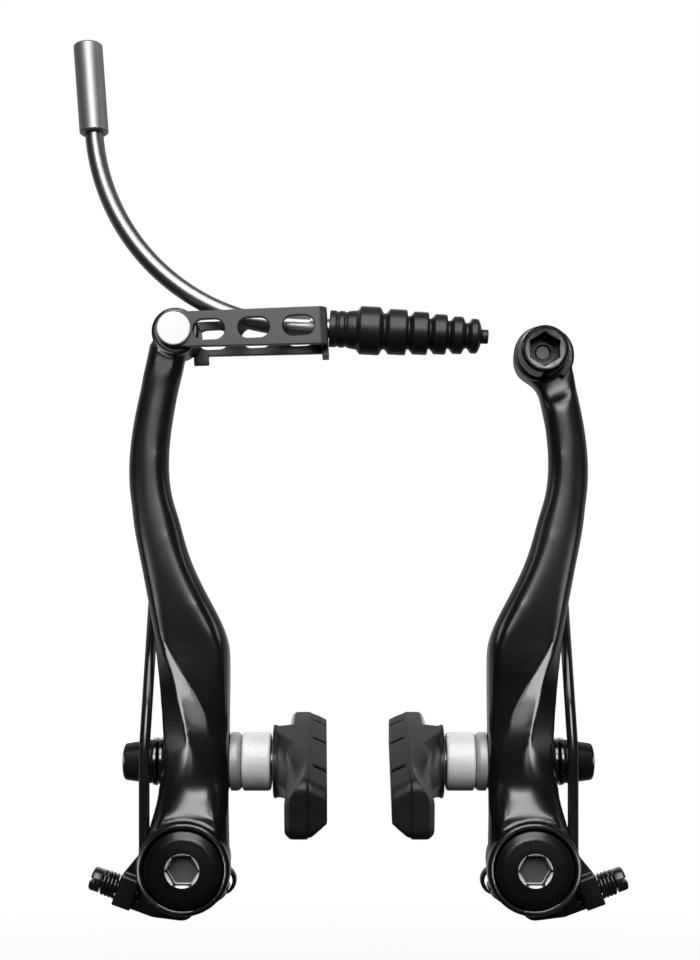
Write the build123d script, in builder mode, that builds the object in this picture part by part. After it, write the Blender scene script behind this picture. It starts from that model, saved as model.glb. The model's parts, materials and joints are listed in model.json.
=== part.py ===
"""Linear-pull bicycle rim brake: two forged arms, lead pipe, link and shoes.

Millimetres. +Z is up, +Y points into the frame, and the rider-side face looks along -Y.
The origin lies midway between the two pivot axes, on the face that meets the frame.
"Inward" is measured from an arm's own pivot axis towards the wheel, and "forward" is
measured from the frame face towards the front. The left half is modelled and mirrored.
"""

import os
from math import cos, radians, sin, sqrt

from build123d import *

os.makedirs("parts", exist_ok=True)

# Layout of the pair
pivot_spacing = 73.0
stud_height = 21.6
stud_forward = 8.3
knee_height = 45.0
waist_height = 84.7
link_pin_height = 112.3
anchor_height = 107.7
top_offset = 1.9
link_depth = 13.0

# Fits
running_gap = 0.05
body_gap = 0.3
seat_gap = 0.05

# Pivot bush and bolt
boss_bore_radius = 4.05
bush_radius = 5.0
bush_length = 17.6
bush_flange_radius = 6.3
bush_flange_thickness = 1.3
bolt_radius = 3.0
bolt_thread_length = 14.0
bolt_head_radius = 8.1
bolt_face_radius = 6.7
bolt_head_height = 3.6
bolt_bevel = 1.2
bolt_dome = 0.35
bolt_hex = 6.0
bolt_hex_depth = 3.0
hex_mouth_radius = 3.6

# Arm hub
hub_lip_radius = 9.8
hub_barrel_radius = 6.7
hub_lip_front = 19.9
hub_lip_rear = 16.0
hub_edge_round = 0.6
head_side_gap = 0.35

# Arm ends
eye_radius = 5.0
eye_thickness = 8.6
anchor_eye_radius = 6.2
anchor_eye_outset = 0.9
anchor_face = 15.0
anchor_recess_radius = 10.2
neck_round = 5.0
neck_height = 94.0

# Shoe stud seats on the arm
arm_inner_face = 9.1
arm_outer_face = -5.1
stud_hole_radius = 4.6
inner_seat_radius = 5.6
outer_seat_radius = 5.4

# Return spring
spring_wire_radius = 1.15
spring_leg_inward = -8.7
spring_forward = 14.6
spring_straight_height = 24.0
spring_top_height = 60.0
spring_top_inward = -7.4
spring_top_forward = 7.4
spring_bend_radius = 25.0
spring_tail_angle = -60.0
spring_tail_run = 3.4
spring_tail_bend = 2.0
spring_tail_depth = 2.6

# Spring holder
holder_rear = 1.6
holder_front = 6.1
holder_radius = 8.6
ear_front = 8.6
ear_reach = 15.6
ear_drop = 6.0
ear_width = 6.8
ear_depth = 4.2
holder_heel = (8.2, 12.4)
holder_toe = (0.4, 13.4)
holder_heel_round = 3.0
holder_brow = 1.7
screw_angle = 20.0
stop_pin_reach = 9.0
stop_pin_radius = 1.2
stop_pin_shank_radius = 0.9
stop_pin_length = 3.5
stop_pin_seat = 3.0
clip_thickness = 0.85
clip_width = 3.0
clip_bulge = 2.3
clip_start_angle = -14.0
clip_end_angle = -52.0

# Spring adjusting screw
screw_radius = 1.5
screw_head_radius = 2.6
screw_head_height = 2.4
screw_head_round = 0.7
screw_gap = 3.8
screw_bury = 4.5
screw_slot_width = 0.8
screw_slot_depth = 1.0
adjust_wire_radius = 0.4
adjust_coil_radius = 2.4
adjust_turns = 3.5

# Washers and nut on the shoe stud
stud_radius = 3.0
washer_bore_radius = 3.3
spacer_radius = 6.3
spacer_end = 17.8
dome_height = 2.6
dome_shoulder = 1.4
dome_cap_radius = 5.2
dome_rise = 0.9
outer_washer_radius = 5.1
outer_dome_height = 1.3
outer_cup_height = 1.1
nut_length = 6.2
nut_wide_radius = 4.7
nut_end_radius = 4.0
nut_hex = 5.0
nut_hex_depth = 2.6

# Brake shoe
shoe_tilt = 8.3
shoe_toe_in = 1.0
shoe_length = 70.0
shoe_height = 12.4
rim_radius = 300.0
shoe_corner = 2.6
shoe_flange_radius = 8.0
shoe_flange_start = 18.2
shoe_flange_thickness = 0.8
shoe_back = 21.4
pad_joint = 26.1
pad_face = 29.7
pad_slope = 1.9
pad_groove_count = 3
pad_groove_pitch = 22.0
pad_groove_width = 1.6
pad_groove_depth = 2.8
pad_groove_slant = 22.0
pad_bevel = 3.0
pad_bevel_start = 2.2
shoe_taper = 1.8
shoe_taper_start = 8.0
hump_length = 46.0
hump_flat = 19.0
hump_height = 12.6
hump_end_height = 5.0
hump_sink = 1.4
hump_neck = 14.4
hump_neck_flat = 6.2
back_chamfer = 2.2
stud_seat_depth = 1.8

# Link
link_length = 31.9
link_sheet = 1.4
link_half_height = 3.65
link_end_top = 3.5
link_end_bottom = 4.3
link_tilt = 2.5
link_bend_radius = 1.9
link_hole_count = 3
link_hole_first = 7.2
link_hole_pitch = 9.35
link_hole_length = 6.7
link_hole_height = 4.3
link_hole_drop = 0.3
lug_width = 3.2
lug_height = 2.0
lug_along = 2.8
end_lug_depth = 4.0
pin_radius = 2.5
pin_head_radius = 3.5
pin_head_height = 0.9
pin_head_gap = 0.12
pin_tail_radius = 3.3

# Lead pipe
pipe_radius = 1.93
pipe_bore_radius = 1.25
pipe_bend_radius = 44.0
pipe_lean = 4.1
pipe_end_slope = -3.0
pipe_bend_reach = 17.6
pipe_bend_rise = 42.6
pipe_end_run = 4.2
liner_radius = 1.2
liner_bore_radius = 0.75
ferrule_radius = 3.05
ferrule_length = 18.9
housing_bore_radius = 2.55
housing_depth = 11.0
tip_barrel_radius = 2.4
tip_barrel_length = 5.8
tip_flange_radius = 2.95
tip_nose_radius = 2.0
tip_nose_length = 4.8
tip_seat_gap = 0.4
nose_hole_gap = 0.3
cable_slot_width = 2.2

# Rubber boot
boot_gap = 0.8
boot_neck_length = 5.2
boot_neck_radius = 3.85
boot_neck_groove = 0.35
boot_ring_count = 6
boot_first_ring = 6.3
boot_ring_pitch = (6.1, 5.1, 4.5, 4.0, 3.8)
boot_first_width = 4.5
boot_last_width = 1.7
boot_first_radius = 5.05
boot_last_radius = 3.65
boot_valley_depth = 1.0
boot_ring_flank = 0.55
boot_nub_radius = 1.5
boot_nub_length = 1.6
boot_end_bore_radius = 0.95

# Cable anchor
anchor_bolt_radius = 2.5
anchor_head_radius = 5.3
anchor_head_top_radius = 4.9
anchor_head_height = 5.5
anchor_hex = 6.0
anchor_hex_depth = 4.4
anchor_mouth_radius = 4.2
anchor_dimple_radius = 1.5
anchor_dimple_depth = 0.4
clamp_plate_radius = 5.8
clamp_plate_thickness = 1.6
clamp_tab_width = 3.4
clamp_tab_reach = 6.6
clamp_tab_angle = 212.0
cable_groove_radius = 0.9
anchor_tail = 1.2

half_spacing = pivot_spacing / 2
left_pivot = -half_spacing
eye_rear = link_depth - eye_thickness / 2
eye_front = link_depth + eye_thickness / 2
pin_x = left_pivot - top_offset
anchor_x = half_spacing + top_offset


def facing(x, z, forward):
    """Plane parallel to the front of the brake, with its normal towards the front."""
    return Plane(origin=(x, -forward, z), x_dir=(1, 0, 0), z_dir=(0, -1, 0))


def across(inward, forward=stud_forward, height=stud_height):
    """Plane square to the left shoe stud, with its normal towards the wheel."""
    return Plane(origin=(left_pivot + inward, -forward, height), x_dir=(0, 1, 0), z_dir=(1, 0, 0))


def save(builder, name):
    builder.part.label = name
    export_step(builder.part, f"parts/{name}.step")


def save_pair(builder, name):
    """Writes a left-hand piece and its mirror image."""
    save(builder, f"left_{name}")
    with BuildPart() as twin:
        mirror(builder.part, about=Plane.YZ)
    save(twin, f"right_{name}")


def hexagon(across_flats, turn=0):
    return RegularPolygon(across_flats / 2, 6, major_radius=False, rotation=turn)


# Pivot bush
with BuildPart() as pivot_bush:
    with BuildSketch(facing(left_pivot, 0, 0)):
        Circle(bush_radius)
        Circle(boss_bore_radius, mode=Mode.SUBTRACT)
    extrude(amount=bush_length)
    with BuildSketch(facing(left_pivot, 0, 0)):
        Circle(bush_flange_radius)
        Circle(boss_bore_radius, mode=Mode.SUBTRACT)
    extrude(amount=bush_flange_thickness)
    chamfer(pivot_bush.edges().filter_by(GeomType.CIRCLE).sort_by(Axis.Y)[0:1], 0.3)
save_pair(pivot_bush, "pivot_bush")

# Pivot bolt with a dished hexagon socket
bolt_axis = Axis((left_pivot, 0, 0), (0, 1, 0))
bolt_face = bush_length + bolt_head_height
with BuildPart() as pivot_bolt:
    with BuildSketch(Plane(origin=(left_pivot, 0, 0), x_dir=(1, 0, 0), z_dir=(0, 0, 1))):
        with BuildLine():
            Polyline(
                (0, -bush_length + bolt_thread_length),
                (bolt_radius - 0.5, -bush_length + bolt_thread_length),
                (bolt_radius, -bush_length + bolt_thread_length - 0.5),
                (bolt_radius, -bush_length),
                (bolt_head_radius, -bush_length),
                (bolt_head_radius, -bolt_face + bolt_bevel),
                (bolt_face_radius, -bolt_face + bolt_dome),
            )
            ThreePointArc(
                (bolt_face_radius, -bolt_face + bolt_dome),
                (bolt_face_radius / 2, -bolt_face + bolt_dome / 4),
                (0, -bolt_face),
            )
            Line((0, -bolt_face), (0, -bush_length + bolt_thread_length))
        make_face()
    revolve(axis=bolt_axis)
    with BuildSketch(facing(left_pivot, 0, bolt_face)):
        hexagon(bolt_hex)
    extrude(amount=-bolt_hex_depth, mode=Mode.SUBTRACT)
    with BuildSketch(facing(left_pivot, 0, bolt_face + 0.1)):
        Circle(hex_mouth_radius + 0.1)
    extrude(amount=-hex_mouth_radius / 2, taper=45, mode=Mode.SUBTRACT)
save_pair(pivot_bolt, "pivot_bolt")

# Spring holder: ring on the bush, ear for the adjusting screw, clip round the spring's tail
outward_up = Vector(-cos(radians(screw_angle)), 0, sin(radians(screw_angle)))
ear_face_centre = Vector(left_pivot - ear_reach, -(holder_rear + ear_front) / 2, -ear_drop)
screw_plane = Plane(origin=ear_face_centre, x_dir=(0, 1, 0), z_dir=outward_up)
tail_angle = radians(spring_tail_angle)
coil_radius = -spring_leg_inward


def round_hub(angle, radius):
    """Point on the front view at an angle round the left pivot, from the wheel side."""
    return (radius * cos(radians(angle)), radius * sin(radians(angle)))


tail_corner = Vector(
    left_pivot + coil_radius * cos(tail_angle) - spring_tail_run * sin(tail_angle),
    -spring_forward,
    coil_radius * sin(tail_angle) + spring_tail_run * cos(tail_angle),
)
ear_top = ear_face_centre + Vector(sin(radians(screw_angle)), 0, cos(radians(screw_angle))) * (ear_width / 2)
ear_low = ear_face_centre - Vector(sin(radians(screw_angle)), 0, cos(radians(screw_angle))) * (ear_width / 2)
with BuildPart() as spring_holder:
    with BuildSketch(Plane.XZ.offset(holder_rear)) as holder_outline:
        with BuildLine():
            Polyline(
                (left_pivot, holder_brow),
                (left_pivot - stop_pin_reach - holder_brow, holder_brow),
                (ear_top.X, ear_top.Z),
                (ear_low.X, ear_low.Z),
                (left_pivot - holder_heel[0], -holder_heel[1]),
                (left_pivot - holder_toe[0], -holder_toe[1]),
                (left_pivot + holder_radius * 0.4, -holder_radius * 0.9),
                close=True,
            )
        make_face()
        fillet(holder_outline.vertices().sort_by(Axis.Z)[0:2], holder_heel_round)
        with Locations((left_pivot, 0)):
            Circle(holder_radius)
            Circle(bush_radius + seat_gap, mode=Mode.SUBTRACT)
    extrude(amount=holder_front - holder_rear)
    with BuildSketch(screw_plane):
        Rectangle(ear_front - holder_rear, ear_width)
    extrude(amount=-ear_depth)
    with BuildSketch(screw_plane):
        Circle(screw_radius + running_gap)
    extrude(amount=-screw_bury - 0.6, mode=Mode.SUBTRACT)
    with BuildSketch(facing(left_pivot - stop_pin_reach, 0, holder_rear)):
        Circle(stop_pin_shank_radius + seat_gap)
    extrude(amount=stop_pin_seat, mode=Mode.SUBTRACT)
    with BuildSketch(facing(left_pivot, 0, holder_front - clip_width)):
        with BuildLine():
            ThreePointArc(
                round_hub(clip_start_angle, holder_radius - 0.5),
                round_hub((clip_start_angle + clip_end_angle) / 2, holder_radius + clip_bulge),
                round_hub(clip_end_angle, holder_radius - 0.5),
            )
            offset(amount=clip_thickness / 2)
        make_face()
    extrude(amount=clip_width)
    with BuildSketch(Plane.XZ.offset(holder_rear)):
        with Locations((tail_corner.X, tail_corner.Z)):
            Circle(spring_wire_radius + body_gap / 2)
    extrude(amount=holder_front, mode=Mode.SUBTRACT)
save_pair(spring_holder, "spring_holder")

# Stop pin that goes into the frame's spring hole, with a thinner shank in the holder
with BuildPart() as stop_pin:
    with BuildSketch(facing(left_pivot - stop_pin_reach, 0, holder_rear + stop_pin_seat - seat_gap)):
        Circle(stop_pin_shank_radius)
    extrude(amount=-stop_pin_seat)
    with BuildSketch(facing(left_pivot - stop_pin_reach, 0, holder_rear - seat_gap)):
        Circle(stop_pin_radius)
    extrude(amount=-(holder_rear - seat_gap + stop_pin_length))
    chamfer(stop_pin.edges().sort_by(Axis.Y)[-1], 0.3)
save_pair(stop_pin, "stop_pin")

# Spring adjusting screw and its anti-rattle spring
with BuildPart() as adjust_screw:
    with BuildSketch(screw_plane.offset(-screw_bury)):
        Circle(screw_radius)
    extrude(amount=screw_bury + screw_gap)
    with BuildSketch(screw_plane.offset(screw_gap)):
        Circle(screw_head_radius)
    extrude(amount=screw_head_height)
    fillet(adjust_screw.edges().filter_by(GeomType.CIRCLE).sort_by(Axis.X)[0], screw_head_round)
    with BuildSketch(screw_plane.offset(screw_gap + screw_head_height)):
        Rectangle(2 * screw_head_radius + 1, screw_slot_width)
        Rectangle(screw_slot_width, 2 * screw_head_radius + 1)
    extrude(amount=-screw_slot_depth, mode=Mode.SUBTRACT)
save_pair(adjust_screw, "adjust_screw")

coil_room = screw_gap - 2 * adjust_wire_radius - 2 * seat_gap
with BuildPart() as adjust_spring:
    with BuildLine() as coil:
        Helix(
            coil_room / adjust_turns,
            coil_room,
            adjust_coil_radius,
            center=ear_face_centre + outward_up * (adjust_wire_radius + seat_gap),
            direction=outward_up,
        )
    with BuildSketch(Plane(origin=coil.line @ 0, z_dir=coil.line % 0)):
        Circle(adjust_wire_radius)
    sweep()
save_pair(adjust_spring, "adjust_spring")

# Return spring: straight leg up the outside of the arm, turn round the hub, tail in the holder
leg_top = Vector(left_pivot + spring_top_inward, -spring_top_forward, spring_top_height)
leg_bend = Vector(left_pivot + spring_leg_inward, -spring_forward, spring_straight_height)
leg_foot = Vector(left_pivot + spring_leg_inward, -spring_forward, 0)
coil_low = Vector(left_pivot, -spring_forward, -coil_radius)
coil_end = Vector(
    left_pivot + coil_radius * cos(tail_angle), -spring_forward, coil_radius * sin(tail_angle)
)
tail_end = Vector(tail_corner.X, -spring_tail_depth, tail_corner.Z)
with BuildPart() as return_spring:
    with BuildLine() as wire:
        FilletPolyline(leg_top, leg_bend, leg_foot, radius=spring_bend_radius)
        ThreePointArc(leg_foot, coil_low, coil_end)
        FilletPolyline(coil_end, tail_corner, tail_end, radius=spring_tail_bend)
    with BuildSketch(Plane(origin=leg_top, z_dir=leg_bend - leg_top)):
        Circle(spring_wire_radius)
    sweep(path=wire.wires()[0])
save_pair(return_spring, "return_spring")

# Forged arm blade: corner lines of its section, as (height, inward, forward)
root_height = 15.6
shelf_height = 11.0
ridge_low = 24.8
ridge_mid = 35.8
crease_mid = 40.2
split_height = 50.0
shin_height = 58.2
calf_height = 70.4
neck_base = 96.7
top_height = 110.4
outer_front = [
    (0, -9.4, 16.4),
    (shelf_height, -6.7, 15.6),
    (root_height, -5.8, 14.4),
    (ridge_low, -4.9, 13.4),
    (knee_height, -6.4, 13.2),
    (shin_height, -8.7, 13.4),
    (calf_height, -10.9, 13.4),
    (waist_height, -12.3, 13.3),
    (neck_base, -10.8, 13.3),
    (top_height, -7.6, 13.6),
]
flank = [
    (0, -8.3, 19.2),
    (shelf_height, -4.5, 18.5),
    (root_height, -3.0, 16.6),
    (ridge_low, 0.5, 16.5),
    (ridge_mid, -1.5, 16.4),
    (knee_height, -4.7, 16.3),
    (split_height, -6.4, 15.6),
    (shin_height, -8.1, 15.4),
    (calf_height, -10.4, 15.2),
    (waist_height, -11.7, 15.0),
    (neck_base, -10.3, 15.0),
    (top_height, -7.1, 15.3),
]
ridge = [
    (0, 7.9, 19.2),
    (shelf_height, 6.1, 18.6),
    (root_height, 4.3, 16.9),
    (ridge_low, 1.0, 16.7),
    (ridge_mid, -1.1, 16.6),
    (knee_height, -4.3, 16.8),
    (split_height, -6.0, 16.1),
    (shin_height, -7.7, 16.0),
    (calf_height, -9.9, 15.9),
    (waist_height, -11.2, 15.7),
    (neck_base, -9.8, 15.7),
    (top_height, -6.5, 16.0),
]
crease = [
    (0, 8.6, 18.8),
    (shelf_height, 7.5, 17.6),
    (root_height, 6.6, 15.8),
    (ridge_low, 7.0, 16.4),
    (ridge_mid, 2.3, 17.7),
    (crease_mid, 0.1, 17.7),
    (knee_height, -2.9, 17.5),
    (split_height, -5.2, 17.2),
    (shin_height, -6.4, 17.0),
    (calf_height, -8.7, 16.8),
    (waist_height, -10.1, 16.5),
    (neck_base, -8.7, 16.5),
    (top_height, -5.4, 16.8),
]
inner_bevel = [
    (0, 9.1, 18.0),
    (shelf_height, 8.8, 16.4),
    (root_height, 8.4, 15.3),
    (ridge_low, 8.7, 16.0),
    (knee_height, 7.4, 17.4),
    (split_height, 5.6, 17.4),
    (shin_height, 1.3, 17.3),
    (calf_height, -3.4, 17.0),
    (waist_height, -5.7, 16.7),
    (neck_base, -4.3, 16.6),
    (top_height, -1.3, 16.8),
]
inner_front = [
    (0, 9.5, 16.4),
    (root_height, arm_inner_face, 14.4),
    (ridge_low, arm_inner_face, 14.8),
    (knee_height, arm_inner_face, 15.0),
    (split_height, 8.1, 15.0),
    (shin_height, 4.0, 14.9),
    (calf_height, -0.7, 14.8),
    (waist_height, -3.5, 14.6),
    (neck_base, -2.3, 14.6),
    (top_height, 0.6, 15.0),
]
inner_rear = [
    (0, 8.4, 9.0),
    (shelf_height, 8.6, 8.6),
    (root_height, 8.3, 4.6),
    (ridge_low, 8.5, 4.6),
    (knee_height, arm_inner_face, 8.2),
    (split_height, 7.8, 9.0),
    (shin_height, 3.7, 9.8),
    (calf_height, -1.0, 10.4),
    (waist_height, -3.8, 10.8),
    (neck_base, -2.6, 11.0),
    (top_height, 0.3, 11.0),
]
rear_inner = [
    (0, 6.2, 6.6),
    (shelf_height, 6.6, 6.6),
    (root_height, 7.2, 2.8),
    (ridge_low, 7.4, 2.8),
    (knee_height, 6.7, 6.4),
    (split_height, 5.3, 7.2),
    (shin_height, 1.4, 8.0),
    (calf_height, -3.3, 8.6),
    (waist_height, -6.0, 8.8),
    (neck_base, -4.8, 8.9),
    (top_height, -1.9, 8.9),
]
rear_outer = [
    (0, -4.7, 6.6),
    (shelf_height, -3.9, 6.6),
    (root_height, -3.8, 2.8),
    (ridge_low, -3.8, 2.8),
    (knee_height, -2.0, 6.4),
    (split_height, -2.6, 7.2),
    (shin_height, -4.0, 8.0),
    (calf_height, -8.5, 8.6),
    (waist_height, -10.1, 8.8),
    (neck_base, -8.7, 8.9),
    (top_height, -5.4, 8.9),
]
outer_rear = [
    (0, -6.5, 9.0),
    (shelf_height, -5.7, 8.6),
    (root_height, -5.4, 4.6),
    (ridge_low, -4.8, 4.6),
    (knee_height, -6.2, 11.4),
    (split_height, -7.1, 11.8),
    (shin_height, -8.5, 11.9),
    (calf_height, -10.8, 11.2),
    (waist_height, -12.3, 10.9),
    (neck_base, -10.7, 10.9),
    (top_height, -7.6, 11.0),
]
section_corners = [
    outer_front,
    flank,
    ridge,
    crease,
    inner_bevel,
    inner_front,
    inner_rear,
    rear_inner,
    rear_outer,
    outer_rear,
]
loft_spans = [
    (0, shelf_height / 2, shelf_height, root_height),
    (root_height, root_height + 1.2, stud_height + 2, ridge_low + 4, crease_mid - 2, knee_height - 1.2, knee_height),
    (knee_height, knee_height + 1.2, split_height + 2, shin_height + 1, calf_height - 3, calf_height + 5),
    (calf_height + 5, waist_height, waist_height + 8, neck_base + 4, top_height),
]


def tangent_at(knots, place, axis):
    """Slope of a corner line at a knot, level where the line turns back."""
    if place in (0, len(knots) - 1):
        return 0
    before = (knots[place][axis] - knots[place - 1][axis]) / (knots[place][0] - knots[place - 1][0])
    after = (knots[place + 1][axis] - knots[place][axis]) / (knots[place + 1][0] - knots[place][0])
    if before * after <= 0:
        return 0
    return 2 * before * after / (before + after)


def corner_at(knots, height):
    """Place of a corner line at a height, as a point in a level plane."""
    place = max(i for i in range(len(knots) - 1) if knots[i][0] <= height)
    rise = knots[place + 1][0] - knots[place][0]
    share = (height - knots[place][0]) / rise
    found = []
    for axis in (1, 2):
        found.append(
            (1 + 2 * share) * (1 - share) ** 2 * knots[place][axis]
            + share * (1 - share) ** 2 * rise * tangent_at(knots, place, axis)
            + share**2 * (3 - 2 * share) * knots[place + 1][axis]
            + share**2 * (share - 1) * rise * tangent_at(knots, place + 1, axis)
        )
    return (left_pivot + found[0], -found[1])


hub_floor = bush_length - body_gap - 0.1
with BuildPart() as arm_blade:
    for span in loft_spans:
        for section_height in span:
            with BuildSketch(Plane.XY.offset(section_height)):
                with BuildLine():
                    Polyline(*[corner_at(corner, section_height) for corner in section_corners], close=True)
                make_face()
        loft()
    # clear the outer side behind the lip for the return spring
    with BuildSketch(facing(left_pivot, 0, 0)):
        with Locations((spring_leg_inward + spring_wire_radius + body_gap, 0)):
            Rectangle(
                2 * hub_lip_radius,
                2 * spring_straight_height,
                align=(Align.MAX, Align.CENTER),
            )
    extrude(amount=hub_lip_rear, mode=Mode.SUBTRACT)
    with BuildSketch(facing(left_pivot, 0, hub_lip_rear)):
        Circle(hub_lip_radius)
    extrude(amount=hub_lip_front - hub_lip_rear)
    fillet(arm_blade.faces().sort_by(Axis.Y)[0].edges(), hub_edge_round)
    with BuildSketch(facing(left_pivot, 0, holder_front + body_gap)):
        Circle(hub_barrel_radius)
    extrude(amount=hub_lip_front - holder_front - body_gap)
    # flat seats for the washers on both sides of the stud hole
    with BuildSketch(across(arm_inner_face)):
        Circle(inner_seat_radius)
    extrude(amount=-arm_inner_face)
    with BuildSketch(across(arm_outer_face)):
        Circle(outer_seat_radius)
    extrude(amount=-arm_outer_face)
    with BuildSketch(across(arm_outer_face)):
        Circle(outer_seat_radius)
    extrude(amount=arm_outer_face, mode=Mode.SUBTRACT)
    with BuildSketch(across(2 * arm_inner_face)):
        Circle(stud_hole_radius)
    extrude(amount=-4 * arm_inner_face, mode=Mode.SUBTRACT)
    # pivot bore and the recess that takes the bolt head
    with BuildSketch(facing(left_pivot, 0, 0)):
        Circle(bush_radius + running_gap)
    extrude(amount=hub_lip_front + 1, mode=Mode.SUBTRACT)
    with BuildSketch(facing(left_pivot, 0, hub_floor)):
        Circle(bolt_head_radius + head_side_gap)
    extrude(amount=hub_lip_front, mode=Mode.SUBTRACT)

# Left arm: eye for the link pin
with BuildPart() as left_arm:
    add(arm_blade.part)
    with BuildSketch(facing(pin_x, link_pin_height, eye_rear)):
        Circle(eye_radius)
    extrude(amount=eye_thickness)
    with BuildSketch(facing(pin_x, link_pin_height, 0)):
        Circle(pin_radius + seat_gap / 2)
    extrude(amount=hub_lip_front, mode=Mode.SUBTRACT)
save(left_arm, "left_arm")

# Right arm: eye for the cable anchor, with a spot face in front, mirrored from the left
neck_foot = [corner_at(corner, neck_height) for corner in (outer_front, inner_front)]
neck_top = [corner_at(corner, anchor_height) for corner in (outer_front, inner_front)]
with BuildPart() as anchor_arm:
    add(arm_blade.part)
    with BuildSketch(Plane.XZ.offset(eye_rear)) as neck:
        with Locations((-anchor_x - anchor_eye_outset, anchor_height)):
            Circle(anchor_eye_radius)
        with BuildLine():
            Polyline(
                (neck_foot[0][0] + 0.4, neck_height),
                (neck_foot[1][0] - 0.4, neck_height),
                (neck_top[1][0] - 0.6, anchor_height),
                (neck_top[0][0] + 0.6, anchor_height),
                close=True,
            )
        make_face()
        hollow = neck.vertices().sort_by(Axis.X)[-1:]
        fillet(hollow, neck_round)
    extrude(amount=anchor_face - eye_rear)
    with BuildSketch(facing(-anchor_x, anchor_height, anchor_face)):
        Circle(anchor_recess_radius)
    extrude(amount=hub_lip_front, mode=Mode.SUBTRACT)
    with BuildSketch(facing(-anchor_x, anchor_height, 0)):
        Circle(anchor_bolt_radius + seat_gap)
    extrude(amount=hub_lip_front, mode=Mode.SUBTRACT)
with BuildPart() as right_arm:
    mirror(anchor_arm.part, about=Plane.YZ)
save(right_arm, "right_arm")

# Cable clamp plate with a locating tab and a cable groove behind
with BuildPart() as cable_clamp_plate:
    with BuildSketch(facing(anchor_x, anchor_height, anchor_face + seat_gap)):
        Circle(clamp_plate_radius)
        with Locations(Rotation(0, 0, -clamp_tab_angle + 180)):
            Rectangle(clamp_tab_reach, clamp_tab_width, align=(Align.MIN, Align.CENTER))
        Circle(anchor_bolt_radius + seat_gap, mode=Mode.SUBTRACT)
    extrude(amount=clamp_plate_thickness)
    with BuildSketch(Plane.YZ.offset(anchor_x)):
        with Locations((-anchor_face, anchor_height + anchor_bolt_radius + 2 * cable_groove_radius)):
            Circle(cable_groove_radius)
    extrude(amount=2 * clamp_plate_radius, both=True, mode=Mode.SUBTRACT)
save(cable_clamp_plate, "cable_clamp_plate")

# Cable anchor bolt
anchor_seat = anchor_face + clamp_plate_thickness + 2 * seat_gap
anchor_top = anchor_seat + anchor_head_height
with BuildPart() as cable_anchor_bolt:
    with BuildSketch(Plane(origin=(anchor_x, 0, anchor_height), x_dir=(1, 0, 0), z_dir=(0, 0, 1))):
        with BuildLine():
            Polyline(
                (0, -eye_rear + anchor_tail),
                (anchor_bolt_radius - 0.4, -eye_rear + anchor_tail),
                (anchor_bolt_radius, -eye_rear + anchor_tail - 0.4),
                (anchor_bolt_radius, -anchor_seat),
                (anchor_head_radius, -anchor_seat),
                (anchor_head_radius, -anchor_seat - anchor_head_height / 3),
                (anchor_head_top_radius, -anchor_top + 0.5),
                (anchor_head_top_radius - 0.5, -anchor_top),
                (0, -anchor_top),
                close=True,
            )
        make_face()
    revolve(axis=Axis((anchor_x, 0, anchor_height), (0, 1, 0)))
    with BuildSketch(facing(anchor_x, anchor_height, anchor_top)):
        hexagon(anchor_hex, turn=30)
    extrude(amount=-anchor_hex_depth, mode=Mode.SUBTRACT)
    with BuildSketch(facing(anchor_x, anchor_height, anchor_top)):
        Circle(anchor_mouth_radius)
    extrude(amount=-anchor_mouth_radius / 2, taper=45, mode=Mode.SUBTRACT)
    with BuildSketch(facing(anchor_x, anchor_height, anchor_top - anchor_hex_depth)):
        Circle(anchor_dimple_radius)
    extrude(amount=-anchor_dimple_depth, mode=Mode.SUBTRACT)
save(cable_anchor_bolt, "cable_anchor_bolt")

# Washers on the shoe stud, revolved about it
stud_axis = Axis((0, -stud_forward, stud_height), (1, 0, 0))
stud_profile = Plane(
    origin=(left_pivot, -stud_forward, stud_height), x_dir=(1, 0, 0), z_dir=(0, -1, 0)
)
dome_end = arm_inner_face + dome_height
with BuildPart() as inner_dome_washer:
    with BuildSketch(stud_profile):
        with BuildLine():
            Polyline(
                (dome_end + dome_rise, washer_bore_radius),
                (arm_inner_face + seat_gap, washer_bore_radius),
                (arm_inner_face + seat_gap, spacer_radius),
                (arm_inner_face + dome_shoulder, spacer_radius),
            )
            ThreePointArc(
                (arm_inner_face + dome_shoulder, spacer_radius),
                (dome_end - 0.45, spacer_radius - 0.38),
                (dome_end - seat_gap, dome_cap_radius),
            )
            ThreePointArc(
                (dome_end - seat_gap, dome_cap_radius),
                (dome_end + dome_rise * 0.6, (dome_cap_radius + washer_bore_radius) / 2),
                (dome_end + dome_rise, washer_bore_radius),
            )
        make_face()
    revolve(axis=stud_axis)
save_pair(inner_dome_washer, "inner_dome_washer")

with BuildPart() as spacer:
    with BuildSketch(stud_profile):
        with BuildLine():
            Polyline(
                (dome_end + dome_rise + seat_gap, washer_bore_radius),
                (spacer_end, washer_bore_radius),
                (spacer_end, spacer_radius - 0.4),
                (spacer_end - 0.4, spacer_radius),
                (dome_end + 0.3, spacer_radius),
                (dome_end, spacer_radius - 0.3),
                (dome_end, dome_cap_radius + seat_gap),
            )
            ThreePointArc(
                (dome_end, dome_cap_radius + seat_gap),
                (dome_end + dome_rise * 0.6 + seat_gap, (dome_cap_radius + washer_bore_radius) / 2 + seat_gap),
                (dome_end + dome_rise + seat_gap, washer_bore_radius),
            )
        make_face()
    revolve(axis=stud_axis)
save_pair(spacer, "spacer")

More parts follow.
